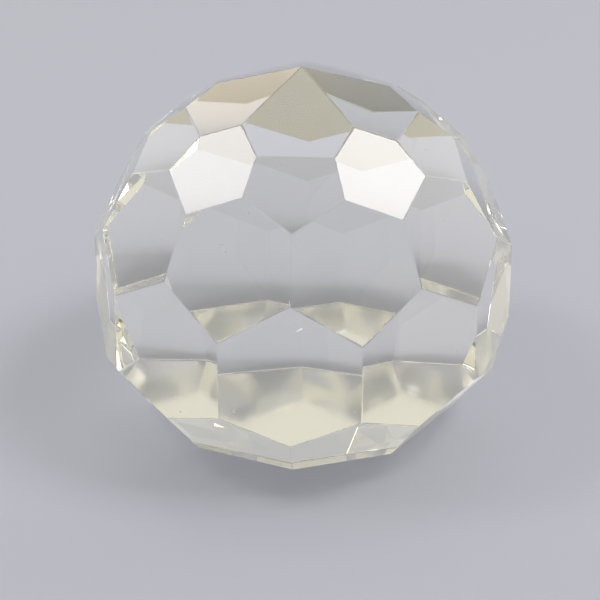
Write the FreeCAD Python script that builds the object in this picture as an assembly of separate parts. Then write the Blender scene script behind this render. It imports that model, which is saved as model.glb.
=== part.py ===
import FreeCAD, Part
import math
import os

# Cut-crystal paperweight: one solid piece of clear glass, a ball ground into flat facets that
# stands on a flat base.  The facets lie in rings round the upright axis.  Every facet of a ring
# leans the same way and lies at the same distance from the middle of the ball, so a ring is
# described by its count, its turn round the axis, its tilt and its distance.
#
# Frame: Z is up, the origin is the middle of the resting face, and -Y is the front, where the
# middle of one crown facet faces.  Lengths are in millimetres and angles in degrees.

# ---- driving dimensions -------------------------------------------------------------------
BALL_DIAMETER = 58.0   # the ball that the shoulder and belt facets just touch
HEIGHT = 52.1          # from the resting face to the point at the top

CROWN_COUNT = 5        # facets that meet in the point at the top
RING_COUNT = 10        # facets in each of the rings below the crown

# A facet's tilt is the angle from straight up to its outward normal.
CROWN_TILT = 22.5
SHOULDER_TILT = 38.0
BELT_TILT = 60.9
WALL_TILT = 88.0
UNDER_TILT = 124.4

# How far a ring's facets lie inside (-) or outside (+) the ball.
CROWN_OFFSET = -0.35
WALL_OFFSET = 0.7
UNDER_OFFSET = 1.65

BASE_BEVEL = 0.15      # how far the narrow bevel round the base draws the resting face in

# ---- values that follow --------------------------------------------------------------------
BALL_RADIUS = BALL_DIAMETER / 2
POINT_ABOVE_CENTRE = (BALL_RADIUS + CROWN_OFFSET) / math.cos(math.radians(CROWN_TILT))
CENTRE = FreeCAD.Vector(0, 0, HEIGHT - POINT_ABOVE_CENTRE)
BLANK_SIZE = 2 * (BALL_DIAMETER + HEIGHT)

# Rings that share their upright edges are in step; the others are turned by half a facet, so
# that each facet's corner points at the gap between two facets of the next ring.
IN_STEP = 0.0
HALF_FACET = 180.0 / RING_COUNT

# name: (count, turn, tilt, offset from the ball)
RINGS = {
    "crown": (CROWN_COUNT, IN_STEP, CROWN_TILT, CROWN_OFFSET),
    "shoulder": (RING_COUNT, IN_STEP, SHOULDER_TILT, 0.0),
    "belt": (RING_COUNT, HALF_FACET, BELT_TILT, 0.0),
    "wall": (RING_COUNT, IN_STEP, WALL_TILT, WALL_OFFSET),
    "under": (RING_COUNT, HALF_FACET, UNDER_TILT, UNDER_OFFSET),
}


def facet_normal(turn, tilt):
    """Outward normal of a facet, turned round the axis from the front and tilted from up."""
    around = math.radians(turn)
    lean = math.radians(tilt)
    return FreeCAD.Vector(
        math.sin(lean) * math.sin(around),
        -math.sin(lean) * math.cos(around),
        math.cos(lean),
    )


def outside_of(point, normal):
    """A block that fills everything on the outer side of the plane through the point."""
    block = Part.makeBox(BLANK_SIZE, BLANK_SIZE, BLANK_SIZE)
    block.translate(FreeCAD.Vector(-BLANK_SIZE / 2, -BLANK_SIZE / 2, 0))
    turned = FreeCAD.Rotation(FreeCAD.Vector(0, 0, 1), normal)
    block.Placement = FreeCAD.Placement(point, turned).multiply(block.Placement)
    return block


def grind(solid, point, normal):
    """Grind the solid flat: take away what lies outside the plane through the point."""
    return solid.cut(outside_of(point, normal))


def grind_ring(solid, count, turn, tilt, offset):
    """Grind one ring of equal facets round the ball."""
    for number in range(count):
        normal = facet_normal(turn + number * 360.0 / count, tilt)
        solid = grind(solid, CENTRE + normal * (BALL_RADIUS + offset), normal)
    return solid


def under_inradius(height):
    """Distance from the axis to the under facets, at a height above the resting face."""
    lean = math.radians(UNDER_TILT)
    reach = BALL_RADIUS + UNDER_OFFSET
    return (reach - (height - CENTRE.z) * math.cos(lean)) / math.sin(lean)


def grind_base_bevel(solid):
    """Grind the narrow bevel round the base, halfway in lean between base and under facets."""
    tilt = (UNDER_TILT + 180.0) / 2
    inner = under_inradius(0) - BASE_BEVEL
    for number in range(RING_COUNT):
        turn = HALF_FACET + number * 360.0 / RING_COUNT
        outward = facet_normal(turn, 90.0)
        solid = grind(solid, outward * inner, facet_normal(turn, tilt))
    return solid


def make_paperweight():
    """The whole piece: a blank ground into its rings of facets, its base and the base bevel."""
    solid = Part.makeBox(BLANK_SIZE, BLANK_SIZE, BLANK_SIZE / 2)
    solid.translate(FreeCAD.Vector(-BLANK_SIZE / 2, -BLANK_SIZE / 2, 0))
    for count, turn, tilt, offset in RINGS.values():
        solid = grind_ring(solid, count, turn, tilt, offset)
    return grind_base_bevel(solid)


os.makedirs("parts", exist_ok=True)
paperweight = make_paperweight().Solids[0]
paperweight.exportStep("parts/crystal_body.step")
box = paperweight.BoundBox
print("crystal_body: %d facets, %.2f x %.2f x %.2f mm, %.1f cm3" % (
    len(paperweight.Faces), box.XLength, box.YLength, box.ZLength, paperweight.Volume / 1000))
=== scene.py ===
import logging
import math
from dataclasses import dataclass
from enum import Enum

import bpy
import numpy as np
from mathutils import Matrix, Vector


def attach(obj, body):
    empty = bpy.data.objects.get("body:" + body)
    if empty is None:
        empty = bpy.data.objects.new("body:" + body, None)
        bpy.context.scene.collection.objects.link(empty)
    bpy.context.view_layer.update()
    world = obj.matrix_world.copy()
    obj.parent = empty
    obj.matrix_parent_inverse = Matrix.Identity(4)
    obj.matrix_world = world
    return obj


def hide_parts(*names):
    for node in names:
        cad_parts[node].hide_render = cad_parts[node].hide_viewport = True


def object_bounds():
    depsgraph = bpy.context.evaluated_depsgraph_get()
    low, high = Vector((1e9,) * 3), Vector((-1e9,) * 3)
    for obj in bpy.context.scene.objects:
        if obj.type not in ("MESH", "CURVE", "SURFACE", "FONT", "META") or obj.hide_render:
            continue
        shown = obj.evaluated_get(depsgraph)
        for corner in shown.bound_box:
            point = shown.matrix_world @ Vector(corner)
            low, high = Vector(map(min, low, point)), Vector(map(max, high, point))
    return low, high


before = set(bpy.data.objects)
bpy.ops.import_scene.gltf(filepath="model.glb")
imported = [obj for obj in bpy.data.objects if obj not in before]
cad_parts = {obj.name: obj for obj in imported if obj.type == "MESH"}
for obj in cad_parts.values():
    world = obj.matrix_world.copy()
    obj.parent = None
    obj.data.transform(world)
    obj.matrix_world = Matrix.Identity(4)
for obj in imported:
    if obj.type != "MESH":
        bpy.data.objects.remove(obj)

CAD_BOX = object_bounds()
LOG = logging.getLogger("paperweight")
MM = 0.001

# Facets whose direction and distance agree to these steps are one facet, and corners that agree
# to theirs are one corner.
DIRECTION_STEP = 0.001
DISTANCE_STEP = 0.01 * MM
CORNER_STEP = 0.001 * MM

# How often light may cross the ball or bounce in it before it is given up.
MOST_CROSSINGS = 32

Colour = tuple[float, float, float, float]


class Node(Enum):
    """The CAD nodes that this scene dresses, by the name each has in the frame."""

    BALL = "crystal_body"


class Shading(Enum):
    """Shader nodes used here, by Blender's names for them."""

    PRINCIPLED = "ShaderNodeBsdfPrincipled"
    ABSORPTION = "ShaderNodeVolumeAbsorption"
    BACKGROUND = "ShaderNodeBackground"
    COORDINATES = "ShaderNodeTexCoord"
    SEPARATE = "ShaderNodeSeparateXYZ"
    NOISE = "ShaderNodeTexNoise"
    VORONOI = "ShaderNodeTexVoronoi"
    MAPPING = "ShaderNodeMapping"
    RAMP = "ShaderNodeValToRGB"
    SPREAD = "ShaderNodeMapRange"
    MATHS = "ShaderNodeMath"
    VECTORS = "ShaderNodeVectorMath"
    BLEND = "ShaderNodeMixRGB"
    BUMP = "ShaderNodeBump"
    SURFACE_OUTPUT = "ShaderNodeOutputMaterial"
    WORLD_OUTPUT = "ShaderNodeOutputWorld"


def linear(hex_colour: str) -> Colour:
    """Turn an sRGB hex colour into the linear colour that Blender's sockets hold.

    Args:
        hex_colour: six hex digits, such as "c8d0dc".

    Returns:
        Linear red, green and blue, and an alpha of 1.
    """
    coded = np.array([int(hex_colour[i:i + 2], 16) for i in (0, 2, 4)]) / 255
    plain = np.where(coded <= 0.04045, coded / 12.92, ((coded + 0.055) / 1.055) ** 2.4)
    return (float(plain[0]), float(plain[1]), float(plain[2]), 1.0)


def add_node(tree: bpy.types.NodeTree, kind: Shading, settings: dict | None = None,
             links: dict | None = None) -> bpy.types.Node:
    """Add one node to a tree, set it up and link its inputs.

    Args:
        tree: the node tree of a material or of the world.
        kind: which shader node to add.
        settings: values by name. The name or number of an input sets that socket, and any other
            name sets the node's own property.
        links: output sockets by the name or number of the input that each one feeds.

    Returns:
        The new node.
    """
    node = tree.nodes.new(kind.value)
    for name, value in (settings or {}).items():
        if isinstance(name, int) or name in node.inputs:
            node.inputs[name].default_value = value
        else:
            setattr(node, name, value)
    for name, output in (links or {}).items():
        tree.links.new(output, node.inputs[name])
    return node


def fill_ramp(ramp: bpy.types.Node, stops: list[tuple[float, Colour]]) -> None:
    """Give a colour ramp its stops.

    Args:
        ramp: the colour ramp node, with the two stops that it starts with.
        stops: each stop's place from 0 to 1 and its linear colour, in order.
    """
    elements = ramp.color_ramp.elements
    while len(elements) < len(stops):
        elements.new(1.0)
    for element, (place, colour) in zip(elements, stops):
        element.position = place
        element.color = colour


def direction(azimuth: float, elevation: float) -> Vector:
    """Unit vector from the ball towards something round it.

    Args:
        azimuth: degrees round from the front (-Y), positive to the right (+X).
        elevation: degrees above the floor.

    Returns:
        The direction.
    """
    round_axis, up = math.radians(azimuth), math.radians(elevation)
    return Vector((math.sin(round_axis) * math.cos(up),
                   -math.cos(round_axis) * math.cos(up), math.sin(up)))


@dataclass(frozen=True)
class CutCrystal:
    """Cut crystal glass, ground flat and polished on a wheel.

    Clear, heavy glass: it bends light strongly, mirrors it sharply, and a faint green-yellow
    cast shows where light has crossed the ball several times. Lengths are in metres.

    Attributes:
        name: the material's name.
        index: how strongly the glass bends light.
        cast: the tint of a deep block of it.
        cast_density: how fast that tint grows, per metre.
        wheel_wave: width of the soft waves that the polishing wheel leaves across a facet.
        wheel_lift: height of those waves.
        wheel_line: spacing of the fine polishing lines. Real ones are far finer, and these are
            drawn this coarse so that they show.
        line_lift: depth of those lines.
        line_stretch: how dense the lines are upwards, as a share of how dense they are across.
        dust_gap: usual distance between two grains of dust.
        dust_size: radius of a grain, as a share of that distance.
        dust_roughness: how dull a grain makes the surface.
        scuff_height: how far above the resting face the glass is rubbed.
        scuff_roughness: how dull the rubbing leaves it.
    """

    name: str = "cut_crystal_wheel_polished"
    index: float = 1.53
    cast: str = "f1eecd"
    cast_density: float = 1.8
    wheel_wave: float = 7.0 * MM
    wheel_lift: float = 0.0035 * MM
    wheel_line: float = 0.45 * MM
    line_lift: float = 0.0001 * MM
    line_stretch: float = 0.04
    dust_gap: float = 4.5 * MM
    dust_size: float = 0.035
    dust_roughness: float = 0.55
    scuff_height: float = 0.05 * MM
    scuff_roughness: float = 0.11

    def polish(self, tree: bpy.types.NodeTree, place: bpy.types.Node) -> bpy.types.Node:
        """Make the relief of the polish: broad soft waves, with fine lines over them.

        Args:
            tree: the material's node tree.
            place: the coordinates node.

        Returns:
            The bump node that holds the relief.
        """
        # The waves make the view through a facet sway a little, because each facet is held to
        # the wheel by hand.
        waves = add_node(tree, Shading.NOISE,
                         {"Scale": 1 / self.wheel_wave, "Detail": 1.0, "Roughness": 0.4},
                         {"Vector": place.outputs["Object"]})
        broad = add_node(tree, Shading.BUMP, {"Strength": 1.0, "Distance": self.wheel_lift},
                         {"Height": waves.outputs["Fac"]})
        # Noise drawn out upwards gives the faint upright streaks that the wheel's grit leaves.
        upright = add_node(tree, Shading.MAPPING, {"Scale": (1.0, 1.0, self.line_stretch)},
                           {"Vector": place.outputs["Object"]})
        lines = add_node(tree, Shading.NOISE, {"Scale": 1 / self.wheel_line, "Detail": 2.0},
                         {"Vector": upright.outputs["Vector"]})
        return add_node(tree, Shading.BUMP, {"Strength": 1.0, "Distance": self.line_lift},
                        {"Height": lines.outputs["Fac"], "Normal": broad.outputs["Normal"]})

    def dullness(self, tree: bpy.types.NodeTree, place: bpy.types.Node) -> bpy.types.Node:
        """Work out how dull the glass is: grains of dust all over, rubbing under the base.

        A grain lies where the distance to the nearest scattered point is under dust_size. The
        resting face is the glass below scuff_height.

        Args:
            tree: the material's node tree.
            place: the coordinates node.

        Returns:
            The node whose value is the roughness.
        """
        points = add_node(tree, Shading.VORONOI, {"Scale": 1 / self.dust_gap},
                          {"Vector": place.outputs["Object"]})
        dust = add_node(tree, Shading.MATHS,
                        {"operation": "LESS_THAN", 1: self.dust_size},
                        {0: points.outputs["Distance"]})
        height = add_node(tree, Shading.SEPARATE, {}, {"Vector": place.outputs["Object"]})
        resting = add_node(tree, Shading.MATHS,
                           {"operation": "LESS_THAN", 1: self.scuff_height},
                           {0: height.outputs["Z"]})
        rubbed = add_node(tree, Shading.MATHS,
                          {"operation": "MULTIPLY", 1: self.scuff_roughness},
                          {0: resting.outputs["Value"]})
        return add_node(tree, Shading.MATHS,
                        {"operation": "MULTIPLY_ADD", 1: self.dust_roughness},
                        {0: dust.outputs["Value"], 2: rubbed.outputs["Value"]})

    def material(self) -> bpy.types.Material:
        """Build the glass: a clear surface over an absorbing inside.

        Returns:
            The finished material.
        """
        material = bpy.data.materials.new(self.name)
        material.use_nodes = True
        tree = material.node_tree
        tree.nodes.clear()
        place = add_node(tree, Shading.COORDINATES)
        surface = add_node(tree, Shading.PRINCIPLED,
                           {"Base Color": (1.0, 1.0, 1.0, 1.0), "IOR": self.index,
                            "Transmission Weight": 1.0},
                           {"Normal": self.polish(tree, place).outputs["Normal"],
                            "Roughness": self.dullness(tree, place).outputs["Value"]})
        inside = add_node(tree, Shading.ABSORPTION,
                          {"Color": linear(self.cast), "Density": self.cast_density})
        add_node(tree, Shading.SURFACE_OUTPUT, {},
                 {"Surface": surface.outputs["BSDF"], "Volume": inside.outputs["Volume"]})
        return material


@dataclass
class FacetedBall:
    """The whole paperweight: one ball of glass, ground into flat facets on a flat base.

    Attributes:
        node: the CAD node that holds the ball's true facets.
        slot: a name for the glass's material slot; not used.
        arris: width of the fine bevel that polishing leaves along every edge.
        arris_steps: how many strips make up that bevel.
        finish: the glass it is cut from.
    """

    node: Node = Node.BALL
    slot: str = "clear_crystal"
    arris: float = 0.16 * MM
    arris_steps: int = 2
    finish: CutCrystal = CutCrystal()

    def facet_planes(self) -> tuple[np.ndarray, np.ndarray, np.ndarray]:
        """Read the facets' planes and corners from the CAD ball.

        A triangle's plane is its unit normal n and its distance d = n . p from the origin. All
        triangles of one facet share a plane, so the facets are the different planes.

        Returns:
            The corners (N, 3), the facets' outward normals (M, 3) and their distances (M,).
        """
        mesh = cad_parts[self.node.value].data
        points = np.empty(len(mesh.vertices) * 3)
        mesh.vertices.foreach_get("co", points)
        points = points.reshape(-1, 3)
        mesh.calc_loop_triangles()
        triangles = np.empty(len(mesh.loop_triangles) * 3, dtype=np.int64)
        mesh.loop_triangles.foreach_get("vertices", triangles)
        first, second, third = points[triangles.reshape(-1, 3)].transpose(1, 0, 2)
        normals = np.cross(second - first, third - first)
        normals /= np.linalg.norm(normals, axis=1, keepdims=True)
        distances = np.einsum("ij,ij->i", normals, first)
        # Rounded to these steps, equal planes become equal rows, and so do equal corners.
        keys = np.column_stack([normals / DIRECTION_STEP, distances / DISTANCE_STEP]).round()
        _, pick = np.unique(keys, axis=0, return_index=True)
        _, corner = np.unique((points / CORNER_STEP).round(), axis=0, return_index=True)
        return points[corner], normals[pick], distances[pick]

    def facet_loops(self, corners: np.ndarray, normals: np.ndarray,
                    distances: np.ndarray) -> list[list[int]]:
        """Order each facet's corners round it.

        A corner c is on the facet where n . c = d. Seen along n, the corners are sorted by the
        angle atan2((c - m) . v, (c - m) . u) round the facet's middle m, where u and v span the
        facet and u x v = n, so each loop turns left and its face points outwards.

        Args:
            corners: the ball's corners.
            normals: the facets' outward normals.
            distances: the facets' distances from the origin.

        Returns:
            One list of corner numbers for each facet.
        """
        on_facet = np.abs(corners @ normals.T - distances) < DISTANCE_STEP
        counts = on_facet.sum(axis=0)
        middles = (on_facet.T @ corners) / counts[:, None]
        helper = np.where(np.abs(normals[:, 2:]) < 0.9, [[0.0, 0.0, 1.0]], [[1.0, 0.0, 0.0]])
        across = np.cross(helper, normals)
        across /= np.linalg.norm(across, axis=1, keepdims=True)
        along = np.cross(normals, across)
        spokes = corners[:, None, :] - middles[None, :, :]
        angles = np.arctan2((spokes * along).sum(2), (spokes * across).sum(2))
        order = np.argsort(np.where(on_facet, angles, np.inf), axis=0)
        return [order[:count, facet].tolist() for facet, count in enumerate(counts)]

    def build(self) -> bpy.types.Object:
        """Make the ball's mesh, with a fine arris along every edge.

        Returns:
            The ball, at the origin, unturned and unscaled.
        """
        corners, normals, distances = self.facet_planes()
        loops = self.facet_loops(corners, normals, distances)
        mesh = bpy.data.meshes.new("faceted_ball")
        mesh.from_pydata(corners.tolist(), [], loops)
        ball = bpy.data.objects.new("faceted_ball", mesh)
        bpy.context.collection.objects.link(ball)
        edge = ball.modifiers.new("arris", "BEVEL")
        edge.width = self.arris
        edge.segments = self.arris_steps
        edge.limit_method = "NONE"
        LOG.info("faceted_ball: %d facets, %d corners", len(loops), len(corners))
        return ball

    def dress(self, ball: bpy.types.Object) -> None:
        """Give the ball its glass and say what it stands for in the frame.

        Args:
            ball: the ball that build made.
        """
        ball.data.materials.append(self.finish.material())
        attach(ball, "root")
        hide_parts(self.node.value)


@dataclass(frozen=True)
class Softbox:
    """One soft studio light, aimed at the ball.

    Attributes:
        name: what it is called.
        azimuth: degrees round from the front, positive to the right.
        elevation: degrees above the floor.
        distance: metres from the ball.
        size: width and height of its front, in metres.
        power: watts.
        tone: colour of its light.
    """

    name: str
    azimuth: float
    elevation: float
    distance: float
    size: tuple[float, float]
    power: float
    tone: str = "fff9f0"

    def place(self, target: Vector) -> None:
        """Set the light up in the scene.

        Args:
            target: the point it is aimed at.
        """
        lamp = bpy.data.lights.new(self.name, "AREA")
        lamp.shape = "RECTANGLE"
        lamp.size, lamp.size_y = self.size
        lamp.energy = self.power
        lamp.color = linear(self.tone)[:3]
        holder = bpy.data.objects.new(self.name, lamp)
        bpy.context.collection.objects.link(holder)
        toward = direction(self.azimuth, self.elevation)
        holder.location = target + toward * self.distance
        holder.rotation_euler = (-toward).to_track_quat("-Z", "Y").to_euler()


@dataclass(frozen=True)
class Glow:
    """A soft round patch of the room that is lighter or darker than the rest.

    Attributes:
        azimuth: degrees round from the front, positive to the right.
        elevation: degrees above the floor.
        inner: half angle of its even middle, in degrees.
        outer: half angle at which it has faded out, in degrees.
        tone: its colour.
        level: how many times brighter than that colour it shines.
    """

    azimuth: float
    elevation: float
    inner: float
    outer: float
    tone: str
    level: float = 1.0


@dataclass
class Studio:
    """The plain pale surroundings: a floor, the room's soft light and the softboxes.

    Attributes:
        floor_size: side of the square floor, in metres.
        air_film: gap between the floor and the resting face, in metres.
        floor_tone: the floor's colour.
        floor_roughness: how matt the floor is.
        room_level: strength of the room's light.
        tones: the room's colour at each elevation in degrees, from the floor up.
        glows: patches of the room that differ from that.
        softboxes: the lamps.
    """

    floor_size: float = 8.0
    air_film: float = 0.15 * MM
    floor_tone: str = "b7bbcd"
    floor_roughness: float = 0.7
    room_level: float = 1.0
    tones: tuple[tuple[float, str], ...] = (
        (0.0, "c8c8c9"), (22.0, "cacac9"), (28.0, "dadad4"), (34.0, "e6e2d0"),
        (60.0, "e0ddd0"), (90.0, "dedbcf"))
    glows: tuple[Glow, ...] = (
        Glow(4.0, 48.0, 15.0, 28.0, "a6a28f"),
        Glow(-172.0, 69.0, 5.0, 8.0, "f4f6ff", 2.6),
        Glow(-127.0, 11.0, 10.0, 24.0, "fffbf4", 1.8),
        Glow(124.0, 14.0, 10.0, 26.0, "fffbf4", 2.3),
        Glow(-156.0, 21.0, 4.5, 7.0, "ffeec8", 2.8),
    )
    softboxes: tuple[Softbox, ...] = (
        Softbox("softbox_left", -95.0, 51.0, 0.7, (0.16, 0.16), 0.58),
        Softbox("softbox_right", 92.5, 56.0, 0.7, (0.2, 0.2), 1.2),
    )

    def lay_floor(self, underside: float) -> None:
        """Lay the floor just below the ball, with the thin film of air that real glass rests on.

        Args:
            underside: height of the ball's resting face.
        """
        half, height = self.floor_size / 2, underside - self.air_film
        mesh = bpy.data.meshes.new("floor")
        mesh.from_pydata([(-half, -half, height), (half, -half, height),
                          (half, half, height), (-half, half, height)], [], [(0, 1, 2, 3)])
        floor = bpy.data.objects.new("floor", mesh)
        bpy.context.collection.objects.link(floor)
        material = bpy.data.materials.new("floor_matt")
        material.use_nodes = True
        shader = material.node_tree.nodes["Principled BSDF"]
        shader.inputs["Base Color"].default_value = linear(self.floor_tone)
        shader.inputs["Roughness"].default_value = self.floor_roughness
        mesh.materials.append(material)

    def light_room(self) -> None:
        """Surround the scene with soft light, plain grey low down and cream higher up.

        Each glow is a soft round patch of the room: its share rises from 0 to 1 as the direction
        comes within its half angle, by the cosine between the two.
        """
        world = bpy.data.worlds.new("room")
        bpy.context.scene.world = world
        world.use_nodes = True
        tree = world.node_tree
        tree.nodes.clear()
        place = add_node(tree, Shading.COORDINATES)
        height = add_node(tree, Shading.SEPARATE, {}, {"Vector": place.outputs["Generated"]})
        ramp = add_node(tree, Shading.RAMP, {}, {"Fac": height.outputs["Z"]})
        fill_ramp(ramp, [(math.sin(math.radians(up)), linear(tone)) for up, tone in self.tones])
        colour = ramp.outputs["Color"]
        for glow in self.glows:
            toward = tuple(direction(glow.azimuth, glow.elevation))
            cosine = add_node(tree, Shading.VECTORS, {"operation": "DOT_PRODUCT", 1: toward},
                              {0: place.outputs["Generated"]})
            share = add_node(tree, Shading.SPREAD,
                             {"interpolation_type": "SMOOTHSTEP",
                              "From Min": math.cos(math.radians(glow.outer)),
                              "From Max": math.cos(math.radians(glow.inner))},
                             {"Value": cosine.outputs["Value"]})
            shine = tuple(part * glow.level for part in linear(glow.tone)[:3]) + (1.0,)
            blend = add_node(tree, Shading.BLEND, {"Color2": shine},
                             {"Fac": share.outputs["Result"], "Color1": colour})
            colour = blend.outputs["Color"]
        backdrop = add_node(tree, Shading.BACKGROUND, {"Strength": self.room_level},
                            {"Color": colour})
        add_node(tree, Shading.WORLD_OUTPUT, {}, {"Surface": backdrop.outputs["Background"]})

    def set_up(self, target: Vector) -> None:
        """Build the floor, the room and the softboxes.

        Args:
            target: the point that the softboxes are aimed at.
        """
        self.lay_floor(CAD_BOX[0][2])
        self.light_room()
        for softbox in self.softboxes:
            softbox.place(target)
        LOG.info("studio: floor and %d softboxes", len(self.softboxes))


@dataclass
class Viewpoint:
    """Where the ball is looked at from.

    Attributes:
        azimuth: degrees round from the front, positive to the right.
        elevation: degrees above the floor.
        distance: metres from the aim point.
        aim: the point in the middle of the picture.
        lens: focal length in millimetres.
        sensor: width of the camera's sensor in millimetres.
        nearest: nearest distance that the camera shows, in metres.
    """

    azimuth: float = 3.1
    elevation: float = 30.7
    distance: float = 224.9 * MM
    aim: tuple[float, float, float] = (-0.1 * MM, -3.0 * MM, 16.0 * MM)
    lens: float = 90.0
    sensor: float = 36.0
    nearest: float = 10.0 * MM

    def set_up(self) -> None:
        """Create the camera and make it the scene's camera."""
        camera = bpy.data.cameras.new("camera")
        camera.lens = self.lens
        camera.sensor_width = self.sensor
        camera.clip_start = self.nearest
        holder = bpy.data.objects.new("camera", camera)
        bpy.context.collection.objects.link(holder)
        toward = direction(self.azimuth, self.elevation)
        holder.location = Vector(self.aim) + toward * self.distance
        holder.rotation_euler = (-toward).to_track_quat("-Z", "Y").to_euler()
        bpy.context.scene.camera = holder


def allow_deep_glass(cycles: bpy.types.AnyType) -> None:
    """Let light cross the ball many times, because the facets trap it for long.

    Args:
        cycles: the scene's ray settings.
    """
    cycles.max_bounces = MOST_CROSSINGS
    cycles.transmission_bounces = MOST_CROSSINGS
    cycles.glossy_bounces = MOST_CROSSINGS


def main() -> None:
    """Build the camera, the studio and the ball."""
    logging.basicConfig(level=logging.INFO, format="%(name)s %(message)s")
    bpy.context.scene.view_settings.view_transform = "Standard"
    allow_deep_glass(bpy.context.scene.cycles)
    Viewpoint().set_up()
    low, high = Vector(CAD_BOX[0]), Vector(CAD_BOX[1])
    Studio().set_up((low + high) / 2)
    maker = FacetedBall()
    maker.dress(maker.build())


if __name__ == "__main__":
    main()
